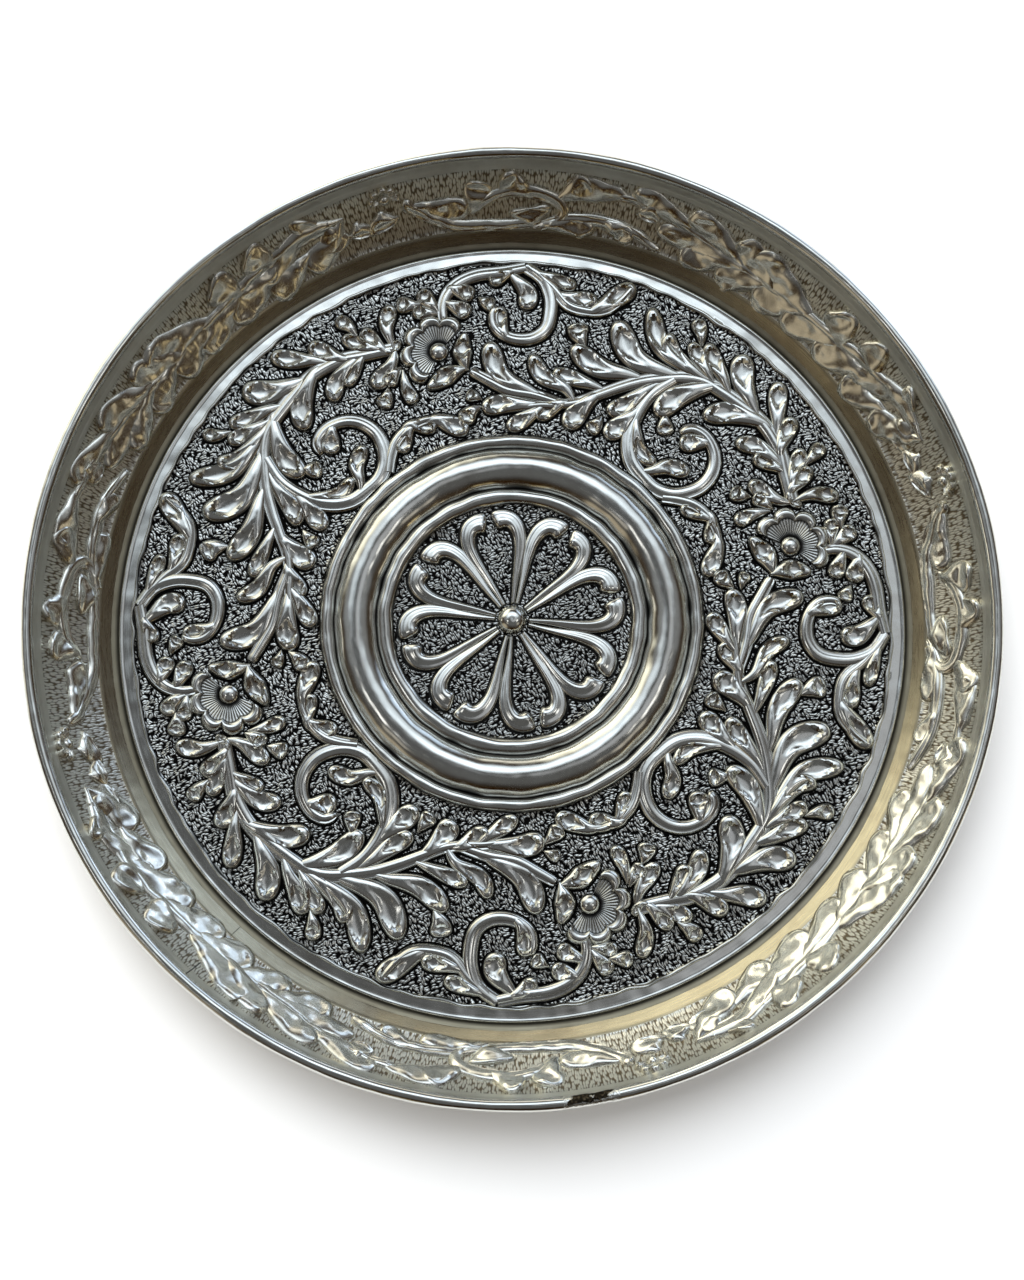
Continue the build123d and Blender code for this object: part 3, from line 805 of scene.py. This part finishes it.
def wall_place(co):
    """How far up from the seam a place is, and how far outside the wall's inner line, in millimetres."""
    spot = Vector((co.xy.length, co.z)) / MM - SIDE_CENTRE
    return SIDE_CLIMB + (math.atan2(spot.x, -spot.y) - FOOT_SLOPE) * SIDE_BOW, spot.length - SIDE_BOW


def on_wall(x, y, height):
    """A place on the sunk ground of the wall, x millimetres round and y millimetres up."""
    spot = wall_spot(y, height - bpy.context.scene.thali_sizes.recess / MM * WALL_SINK)
    angle = math.radians(x / PER_DEGREE)
    return Vector((spot.x * math.cos(angle), spot.x * math.sin(angle), spot.y)) * MM


def wall_points(points, turn):
    """Points of the wall's scroll as millimetres round and up."""
    return [Vector(((t + turn) * PER_DEGREE, STEP_FOOT + STEP_LENGTH * y)) for t, y in points]


def relief_tree(stems, leaves, flower, flower_half):
    """A search tree of points along a scroll's strokes, with the half width of the stroke at each."""
    strokes = [(points, (root + tip) / 4) for points, root, tip in stems]
    strokes += [(points, width / 2) for points, width in leaves]
    strokes.append((flower, flower_half))
    samples, halves = [], []
    for points, half in strokes:
        points = [Vector(p) for p in points]
        run = sum((b - a).length for a, b in zip(points, points[1:]))
        count = max(3, round(run / 1.5))
        samples += [spine_at(points, i / count)[0] for i in range(count + 1)]
        halves += [half] * (count + 1)
    tree = kdtree.KDTree(len(samples))
    for index, spot in enumerate(samples):
        tree.insert((spot.x, spot.y, 0), index)
    tree.balance()
    return tree, halves


def nearness(tree, x, y):
    """How near a place is to the middle of the nearest stroke: 1 on it, fading to 0 past its edge."""
    index, distance = tree[0].find((x, y, 0))[1:]
    return math.exp(-(distance / (tree[1][index] * 0.85)) ** 2)


class THALI_OT_floor(bpy.types.Operator):
    """Spin the floor sheet with its margin, beads, ring and sunk grounds, hollow behind its relief"""
    bl_idname = "thali.floor"
    bl_label = "Floor sheet"

    def execute(self, context):
        sizes = context.scene.thali_sizes
        colours = context.scene.thali_colours
        recess = sizes.recess / MM
        ground, foot = FLOOR_TOP - recess, FLOOR_TOP - recess * 0.4
        spots = [(0, ground), (ROSETTE_RADIUS - 0.5, ground, 8), (ROSETTE_RADIUS, foot)]
        edge = ROSETTE_RADIUS
        for width, height in reversed(BOSS_BANDS):
            edge += width
            spots.append((edge, foot, height, 12))
        spots += [
            (BOSS_RADIUS + 0.4, ground), (FIELD_RADIUS - 0.4, ground, 44), (FIELD_RADIUS, FLOOR_TOP - 0.05),
            (FIELD_RADIUS + 0.9, FLOOR_TOP, 0.28, 5), (FLOOR_RADIUS - 1.0, FLOOR_TOP, 4),
            (FLOOR_RADIUS, FLOOR_TOP - 0.3, 0.25, 5), (FLOOR_RADIUS, FLOOR_UNDER),
            (FLANGE_RADIUS, FLOOR_UNDER, 2), (BOSS_RADIUS, FLOOR_UNDER, 25)]
        for width, height in BOSS_BANDS:
            edge -= width
            spots.append((edge, FLOOR_UNDER, -height, 6))
        spots.append((0, FLOOR_UNDER, 3))
        bm = bmesh.new()
        draw_cut(bm, spots)
        spin_cut(bm, 0, 360, 20)

        # Oxide lies ragged along the grooves and over the rosette's ground, and close to the leaves the
        # ground is painted darker for oxide and for the shade at their foot
        quarter = relief_tree(FLOOR_STEMS, FLOOR_LEAVES, (FLOWER_MIDDLE, FLOWER_MIDDLE + Vector((-2, -4))), 7)
        crease = crease_layer(bm)
        bm.normal_update()
        grooves = (ROSETTE_RADIUS, ROSETTE_RADIUS + BOSS_BANDS[2][0], BOSS_RADIUS - BOSS_BANDS[0][0],
                   BOSS_RADIUS, FIELD_RADIUS)
        underside = (FLOOR_UNDER + 0.1) * MM
        for vert in bm.verts:
            radius = vert.co.xy.length / MM
            if vert.normal.z > 0 and vert.co.z > underside:
                ragged = 0.15 + max(0, 2.2 * noise.noise(vert.co.xy.to_3d() / (7 * MM)))
                vert[crease] = max(0, 1 - min(abs(radius - groove) for groove in grooves) / ragged)
                if radius < ROSETTE_RADIUS - 0.4:
                    vert[crease] = 0.6

        # The hammer leaves the plain bands uneven, and the beads and the margin most of all
        tops = [v for v in bm.verts if v.co.z > (FLOOR_TOP - recess * 0.5) * MM]
        hammer(tops, 10, sizes.hammer)
        hammer([v for v in tops if v.co.xy.length > FIELD_RADIUS * MM], 4, 0.06 * MM)
        beads = [v for v in tops if any(low < v.co.xy.length / MM < high for low, high in BEAD_ZONES)]
        hammer(beads, 5, 0.13 * MM)

        # Hand-drawn circles sway, and the underside is hollow behind the leaves
        for vert in bm.verts:
            radius = vert.co.xy.length / MM
            if 20 < radius < FIELD_RADIUS + 2:
                sway = 0.3 + 0.7 * math.exp(-((radius - FIELD_RADIUS) / 1.2) ** 2)
                vert.co.xy *= 1 + sway * noise.noise(vert.co.xy.to_3d() / (5.5 * MM)) / radius
            if not BOSS_RADIUS - 1 < radius < FIELD_RADIUS + 1:
                continue
            places = [Matrix.Rotation(-turn * math.pi / 2, 2) @ vert.co.xy / MM for turn in range(4)]
            near = max(nearness(quarter, place.x, place.y) for place in places)
            if vert.co.z < underside:
                vert.co.z += sizes.hollow * near * (radius < FLANGE_RADIUS - 0.1)
            elif radius < FIELD_RADIUS - 0.2:
                # Oxide and painted shade darken the ground close to the leaves
                vert[crease] = max(vert[crease], near)
        for face in bm.faces:
            middle = face.calc_center_median()
            radius = middle.xy.length / MM
            sunk = FLOOR_UNDER + 0.2 < middle.z / MM < FLOOR_TOP - recess * 0.3 and face.normal.z > 0.3
            field = radius < ROSETTE_RADIUS or BOSS_RADIUS < radius < FIELD_RADIUS
            face.material_index = int(sunk and field)
        matted = kept_material("Oxidised matted silver", matted_ground, colours.silver, sizes.grain,
                               colours.oxide, False)
        make_piece(bm, "floor_sheet",
                   [silver_named("Round polished silver plate"), matted], ["floor_panel"])
        return {"FINISHED"}


class THALI_OT_floor_scroll(bpy.types.Operator):
    """Raise the leaf scroll and its flower on each quarter of the floor"""
    bl_idname = "thali.floor_scroll"
    bl_label = "Floor scroll"

    def execute(self, context):
        sizes = context.scene.thali_sizes
        relief = sizes.relief / MM
        for quarter in range(4):
            hand = random.Random(sizes.seed + quarter)
            bm = bmesh.new()
            for points, root_width, tip_width in FLOOR_STEMS:
                stem(bm, on_floor, points, root_width, tip_width, relief * 0.85)
            for points, width in FLOOR_LEAVES:
                leaf(bm, on_floor, led_from(FLOOR_STEMS, points, 5), width, relief, hand)
            fan(bm, on_floor, FLOWER_MIDDLE, 138, 340, 2.4, 11.4, 5, relief * 1.1)
            pellet(bm, on_floor, FLOWER_MIDDLE.x, FLOWER_MIDDLE.y, 2.9, relief * 1.25)
            for points, width in FLOWER_SEPALS:
                leaf(bm, on_floor, points, width * 0.85, relief * 1.25, hand, pointed=True)
            bmesh.ops.rotate(bm, verts=bm.verts, matrix=Matrix.Rotation(quarter * math.pi / 2, 3, "Z"))
            bmesh.ops.recalc_face_normals(bm, faces=bm.faces)
            make_piece(bm, f"floor_scroll_{quarter + 1}",
                       [silver_named("Hand polished silver plate")])
        return {"FINISHED"}


class THALI_OT_rosette(bpy.types.Operator):
    """Raise the paired ribs of the eight petals inside the ring"""
    bl_idname = "thali.rosette"
    bl_label = "Rosette"

    def execute(self, context):
        sizes = context.scene.thali_sizes
        hand = random.Random(sizes.seed + 20)
        relief = sizes.relief / MM
        bm = bmesh.new()
        for petal in range(PETALS):
            turn = PETAL_TURN + petal * 360 / PETALS + hand.uniform(-1.2, 1.2)
            turn = Matrix.Rotation(math.radians(turn), 2)
            for side in (-1, 1):
                points = [turn @ Vector((r, side * y)) for r, y in PETAL_RIB]
                full = hand.uniform(5.9, 6.4)

                def half_width(s, full=full):
                    return (1.2 + (full - 1.2) * s ** 1.2) / 2 * closing(s, 0.93, 4)

                def height(s, u, side=side):
                    flat = 1 - 0.25 * math.exp(-((u + side * 0.3) / 0.35) ** 2) * min(1, s / 0.5)
                    rise = relief * (0.55 + 0.7 * s) * dome(u, 2.4) * closing(s, 0.92, 3) * flat
                    return rise, edge_oxide_and_shade(u, 0.84, 6)

                emboss(bm, on_floor, points, half_width, height, 36, 14)
        bmesh.ops.recalc_face_normals(bm, faces=bm.faces)
        make_piece(bm, "rosette_petals", [silver_named("Hand polished silver plate")])
        return {"FINISHED"}


class THALI_OT_bead(bpy.types.Operator):
    """Turn the domed bead in the middle of the rosette"""
    bl_idname = "thali.bead"
    bl_label = "Centre bead"

    def execute(self, context):
        foot = FLOOR_TOP - context.scene.thali_sizes.recess / MM - 0.1
        bm = bmesh.new()
        draw_cut(bm, [(0, FLOOR_TOP + BEAD_HEIGHT), (BEAD_RADIUS - 0.1, FLOOR_TOP + 0.15, 0.85, 12),
                      (BEAD_RADIUS, foot), (0, foot)])
        spin_cut(bm, 0, 360, 2)
        hammer(bm.verts, 2.5, 0.1 * MM)
        make_piece(bm, "centre_bead_dome", [silver_named("Hand polished silver plate")],
                   ["centre_bead"])
        return {"FINISHED"}


class THALI_OT_wall(bpy.types.Operator):
    """Spin the wall: its flange, bend, bowed side with a sunk band, and collar, dented behind its relief"""
    bl_idname = "thali.wall"
    bl_label = "Wall"

    def execute(self, context):
        sizes = context.scene.thali_sizes
        colours = context.scene.thali_colours
        sunk = sizes.recess / MM * WALL_SINK
        inner_lip = LIP_RADIUS - WALL_SHEET
        bend = 1 - math.cos(FOOT_SLOPE / 2)
        down = range(24, 1, -1)
        spots = [(FLANGE_RADIUS, FLOOR_UNDER), (FOOT_RADIUS, FLOOR_UNDER, 3),
                 (*SIDE_START, -FOOT_BEND * bend, 4)]
        spots += [wall_spot(climb, 0) for climb in (2.5, 3.8, 5.2, 6.5)]
        spots += [wall_spot(climb, -sunk) for climb in (BAND_FOOT, *range(8, 24), BAND_TOP)]
        spots += [wall_spot(BAND_TOP + 0.3, 0), COLLAR_BASE]
        # Fine lines are turned in the collar at some of its steps
        for step in range(1, 10):
            spot = COLLAR_BASE.lerp(Vector((inner_lip, LIP_TOP)), step / 10)
            spots.append((spot.x + 0.15 * (step in (3, 5, 8)), spot.y))
        spots += [(inner_lip, LIP_TOP), (LIP_RADIUS, LIP_TOP),
                  (COLLAR_BASE.x + WALL_SHEET * 0.85, COLLAR_BASE.y - WALL_SHEET * 0.4, 4)]
        spots += [wall_spot(climb, -WALL_SHEET) for climb in down]
        spots += [(FOOT_RADIUS, 0, (FOOT_BEND + WALL_SHEET) * bend, 4), (FLANGE_RADIUS, 0, 3)]
        bm = bmesh.new()
        draw_cut(bm, spots, closed=True)
        spin_cut(bm, WALL_JOINT_ANGLE + WALL_JOINT_GAP / 2, 360 - WALL_JOINT_GAP, 22)

        flower = (WALL_FLOWER, (WALL_FLOWER[0] + 1, WALL_FLOWER[1]))
        quarter = relief_tree([(wall_points(points, 0), *widths) for points, *widths in WALL_STEMS],
                              [(wall_points(points, 0), width) for points, width in WALL_LEAVES],
                              wall_points(flower, 0), 4)
        crease = crease_layer(bm)
        bm.normal_update()
        hammer([v for v in bm.verts if v.normal.z > 0 or v.co.z > 3 * MM], 9, sizes.hammer * 1.6)
        for vert in bm.verts:
            climb, outward = wall_place(vert.co)
            if not BAND_FOOT - 0.1 < climb < BAND_TOP + 0.1:
                continue
            degrees = math.degrees(math.atan2(vert.co.y, vert.co.x)) - WALL_TURN
            ways = [((degrees - 5) % 90 + 5 - shift) * PER_DEGREE for shift in (0, 90)]
            near = max(nearness(quarter, way, climb) for way in ways)
            if outward > WALL_SHEET * 0.7:
                vert.co -= vert.normal * sizes.hollow * near
            else:
                # Oxide and painted shade darken the ground close to the leaves
                vert[crease] = near * 0.8
        for face in bm.faces:
            climb, outward = wall_place(face.calc_center_median())
            if face.normal.z > 0 and outward < 0.45 and climb < BAND_TOP + 0.2:
                face.material_index = 1 if climb > BAND_FOOT - 0.2 else 2
            elif face.normal.z < -0.1:
                face.material_index = 2
        matted = kept_material("Matted worn silver", matted_ground, colours.warm_silver, sizes.grain * 0.95,
                               colours.worn, True)
        silvers = [silver_named("Round polished worn plate"), matted, silver_named("Tarnished silver plate")]
        make_piece(bm, "wall_sheet", silvers, ["wall_band"])

        spots = [(FOOT_RADIUS, FLOOR_UNDER * 0.5)]
        spots += [wall_spot(climb, 0.12 * noise.noise((climb * 0.7, 3, 1)) - sunk * 0.6)
                  for climb in reversed(down)]
        spots += [(inner_lip + 0.05, LIP_TOP - 0.05, 3), (LIP_RADIUS - 0.05, LIP_TOP - 0.05)]
        spots += [wall_spot(climb, -WALL_SHEET - 0.06) for climb in down]
        spots.append((FOOT_RADIUS, 0.06))
        joint = bmesh.new()
        draw_cut(joint, spots, closed=True)
        spin_cut(joint, WALL_JOINT_ANGLE - WALL_JOINT_ARC / 2, WALL_JOINT_ARC, 1)
        make_piece(joint, "wall_joint_solder",
                   [kept_material("Solder of the seams", seam_solder)], ["wall_joint"])
        return {"FINISHED"}


class THALI_OT_wall_scroll(bpy.types.Operator):
    """Raise the leaf scroll on each quarter of the wall"""
    bl_idname = "thali.wall_scroll"
    bl_label = "Wall scroll"

    def execute(self, context):
        sizes = context.scene.thali_sizes
        relief = sizes.wall_relief / MM
        for quarter in range(4):
            hand = random.Random(sizes.seed + 40 + quarter)
            turn = WALL_TURN + quarter * 90
            bm = bmesh.new()
            stems = [(wall_points(points, turn), *widths) for points, *widths in WALL_STEMS]
            for points, root_width, tip_width in stems:
                stem(bm, on_wall, points, root_width, tip_width, relief * 0.8)
            for points, width in WALL_LEAVES:
                points = led_from(stems, wall_points(points, turn), 4)
                leaf(bm, on_wall, points, width, relief, hand, puffed=True)
            middle = wall_points([WALL_FLOWER], turn)[0]
            fan(bm, on_wall, middle, -10, 190, 1.4, 4.6, 5, relief)
            pellet(bm, on_wall, middle.x, middle.y, 1.6, relief)
            bmesh.ops.recalc_face_normals(bm, faces=bm.faces)
            bm.normal_update()
            hammer([v for v in bm.verts if v.normal.z > 0.1], 3.2, 0.5 * MM)
            make_piece(bm, f"wall_scroll_{quarter + 1}",
                       [silver_named("Hand polished worn plate")])
        return {"FINISHED"}


class THALI_OT_rim(bpy.types.Operator):
    """Bend the rim wire round the lip, and fill the gap between its ends with burnt solder"""
    bl_idname = "thali.rim"
    bl_label = "Rim wire"

    def execute(self, context):
        half = RIM_JOINT_ARC / 2
        lap = 0.6
        burnt = kept_material("Scorched silver wire", scorched_joint)
        # Each piece has its start and arc in degrees, its steps, its radius, and its dents' sizes and depths
        for name, slot, node, material, start, arc, steps, radius, dents in (
                ("rim_wire_round", "rim_wire", "rim_wire", silver_named("Round polished silver plate"),
                 RIM_JOINT_ANGLE + half, 360 - RIM_JOINT_ARC, 18, WIRE_RADIUS, ((14, 0.16), (2.5, 0.04))),
                ("rim_joint_lump", "burnt_solder", "rim_joint", burnt, RIM_JOINT_ANGLE - half - lap,
                 RIM_JOINT_ARC + 2 * lap, 2, WIRE_RADIUS - 0.1, ((1.1, 0.12), (3.0, 0.12)))):
            bm = bmesh.new()
            centre = Vector((RIM_RADIUS - WIRE_RADIUS, 0, RIM_TOP - WIRE_RADIUS)) * MM
            bmesh.ops.create_circle(bm, segments=20, radius=radius * MM,
                                    matrix=Matrix.Translation(centre) @ Matrix.Rotation(math.pi / 2, 4, "X"))
            spin_cut(bm, start, arc, steps)
            bm.normal_update()
            for size, depth in dents:
                hammer(bm.verts, size, depth * MM)
            make_piece(bm, name, [material], [node])
        return {"FINISHED"}


class THALI_OT_seam(bpy.types.Operator):
    """Run the solder along the floor's edge, dark where it meets the floor"""
    bl_idname = "thali.seam"
    bl_label = "Floor seam"

    def execute(self, context):
        spots = [(-0.3, FLOOR_UNDER), (-0.3, FLOOR_TOP - 0.45), (0.35, FLOOR_TOP - 0.4),
                 (0.6, FLOOR_TOP - 0.32), (1.2, FLOOR_TOP - 0.15), (1.9, FLOOR_TOP + 0.1), (1.2, FLOOR_UNDER)]
        bm = bmesh.new()
        draw_cut(bm, [(FLOOR_RADIUS + out, height) for out, height in spots], closed=True)
        spin_cut(bm, 0, 360, 19)
        bm.normal_update()
        crease = crease_layer(bm)
        for vert in bm.verts:
            vert[crease] = min(1, max(0.4, 1.5 - (vert.co.xy.length / MM - FLOOR_RADIUS) * 1.2))
        hammer([v for v in bm.verts if v.co.z > (FLOOR_TOP - 0.5) * MM], 2.2, 0.1 * MM)
        make_piece(bm, "floor_seam_solder", [silver_named("Tarnished silver plate")],
                   ["floor_seam"])
        return {"FINISHED"}


class THALI_OT_stage(bpy.types.Operator):
    """Lay the pale floor, hang the soft lights and place the camera"""
    bl_idname = "thali.stage"
    bl_label = "Stage"

    def execute(self, context):
        scene = context.scene
        scene.view_settings.view_transform = "Standard"

        # White card: it keeps the plate's soft shadow, and is clear from below so that the underside shows
        card, tree, place = new_material("White card")
        fibres = mottle(tree, place, 2 * MM, 4.0)["Fac"]
        path = add_node(tree, "ShaderNodeLightPath", {}).outputs
        seen = sum_of(tree, "MAXIMUM", path["Is Camera Ray"], path["Is Glossy Ray"])
        seen = sum_of(tree, "MAXIMUM", seen, path["Is Transmission Ray"])
        paper = add_node(tree, "ShaderNodeBsdfPrincipled", {
            "Base Color": colour(scene.thali_colours.paper), "Roughness": 0.9,
            "Normal": bumped(tree, fibres, 0.05, 0.1 * MM),
            "Emission Color": (1, 1, 1, 1), "Emission Strength": sum_of(tree, "MULTIPLY", seen, 0.17)})
        side = add_node(tree, "ShaderNodeNewGeometry", {})
        clear = add_node(tree, "ShaderNodeBsdfTransparent", {})
        sheet = add_node(tree, "ShaderNodeMixShader", {
            0: side.outputs["Backfacing"], 1: paper.outputs[0], 2: clear.outputs[0]})
        add_node(tree, "ShaderNodeOutputMaterial", {"Surface": sheet.outputs[0]})
        bm = bmesh.new()
        bmesh.ops.create_grid(bm, x_segments=8, y_segments=8, size=3.0)
        mesh = bpy.data.meshes.new("stage_floor")
        bm.to_mesh(mesh)
        bm.free()
        mesh.materials.append(card)
        floor = bpy.data.objects.new("stage_floor", mesh)
        scene.collection.objects.link(floor)

        # The room is brown about the plate and grey overhead, and the camera sees paper behind the card
        world = bpy.data.worlds.new("Soft room")
        scene.world = world
        world.use_nodes = True
        tree = world.node_tree
        tree.nodes.clear()
        way = add_node(tree, "ShaderNodeTexCoord", {}).outputs["Generated"]
        parts = add_node(tree, "ShaderNodeSeparateXYZ", {0: way})
        up = ranged(tree, parts.outputs["Z"], 0.3, 0.9, curve="SMOOTHSTEP")
        room = blended(tree, up, colour(linear("#41362A")), colour(linear("#595A5C")))
        for turn, rise, bright, faded, tint, strength in ROOM_LIGHTS:
            turn, rise = math.radians(turn), math.radians(rise)
            aim = (math.cos(rise) * math.cos(turn), math.cos(rise) * math.sin(turn), math.sin(rise))
            facing = add_node(tree, "ShaderNodeVectorMath", {0: way, 1: aim}, operation="DOT_PRODUCT")
            patch = ranged(tree, facing.outputs["Value"], math.cos(math.radians(faded)),
                           math.cos(math.radians(bright)), 0.0, strength, "SMOOTHSTEP")
            room = add_node(tree, "ShaderNodeVectorMath", {0: patch, 1: linear(tint), 2: room},
                            operation="MULTIPLY_ADD").outputs[0]
        room = add_node(tree, "ShaderNodeVectorMath", {0: room, 1: (0, 0, 0)}, operation="MAXIMUM").outputs[0]
        path = add_node(tree, "ShaderNodeLightPath", {}).outputs
        seen = blended(tree, path["Is Camera Ray"], room, colour(scene.thali_colours.paper))
        light = add_node(tree, "ShaderNodeBackground", {"Color": seen})
        add_node(tree, "ShaderNodeOutputWorld", {"Surface": light.outputs[0]})

        # A soft lamp that throws the plate's shadow to the near side
        lamp = bpy.data.lights.new("window_light", "AREA")
        lamp.size = 1.05
        lamp.energy = 18.0
        hung = bpy.data.objects.new("window_light", lamp)
        hung.location = (-0.2, 0.6, 1.15)
        hung.rotation_euler = (-hung.location).to_track_quat("-Z", "Y").to_euler()
        hung.visible_camera = False
        hung.visible_glossy = False
        scene.collection.objects.link(hung)

        # The camera was fitted to the ellipses of the rim, the floor's edge and the ring in the photo
        view = bpy.data.cameras.new("photo_view")
        view.sensor_fit = "VERTICAL"
        view.sensor_height = 36.0
        view.lens = 44.955
        view.clip_start = 0.01
        camera = bpy.data.objects.new("photo_view", view)
        camera.location = (0.0, -81.07 * MM, (427.33 + FLOOR_TOP) * MM)
        camera.rotation_euler = (math.radians(10.013), 0, 0)
        scene.collection.objects.link(camera)
        scene.camera = camera
        return {"FINISHED"}


class THALI_PT_panel(bpy.types.Panel):
    """The plate's pieces and sizes"""
    bl_idname = "THALI_PT_panel"
    bl_label = "Thali plate"
    bl_space_type = "VIEW_3D"
    bl_region_type = "UI"
    bl_category = "Thali"

    def draw(self, context):
        for operator in OPERATORS:
            self.layout.operator(operator.bl_idname)
        for group in (context.scene.thali_sizes, context.scene.thali_colours):
            for key in group.__annotations__:
                self.layout.prop(group, key)


OPERATORS = (THALI_OT_floor, THALI_OT_floor_scroll, THALI_OT_rosette, THALI_OT_bead, THALI_OT_wall,
             THALI_OT_wall_scroll, THALI_OT_rim, THALI_OT_seam, THALI_OT_stage)
CLASSES = (ThaliSizes, ThaliColours, *OPERATORS, THALI_PT_panel)


def register():
    for cls in CLASSES:
        bpy.utils.register_class(cls)
    bpy.types.Scene.thali_sizes = PointerProperty(type=ThaliSizes)
    bpy.types.Scene.thali_colours = PointerProperty(type=ThaliColours)


def unregister():
    del bpy.types.Scene.thali_colours
    del bpy.types.Scene.thali_sizes
    for cls in reversed(CLASSES):
        bpy.utils.unregister_class(cls)


def main():
    """Build every piece and the stage."""
    register()
    bpy.ops.thali.floor()
    bpy.ops.thali.floor_scroll()
    bpy.ops.thali.rosette()
    bpy.ops.thali.bead()
    bpy.ops.thali.wall()
    bpy.ops.thali.wall_scroll()
    bpy.ops.thali.rim()
    bpy.ops.thali.seam()
    bpy.ops.thali.stage()


if __name__ == "__main__":
    main()
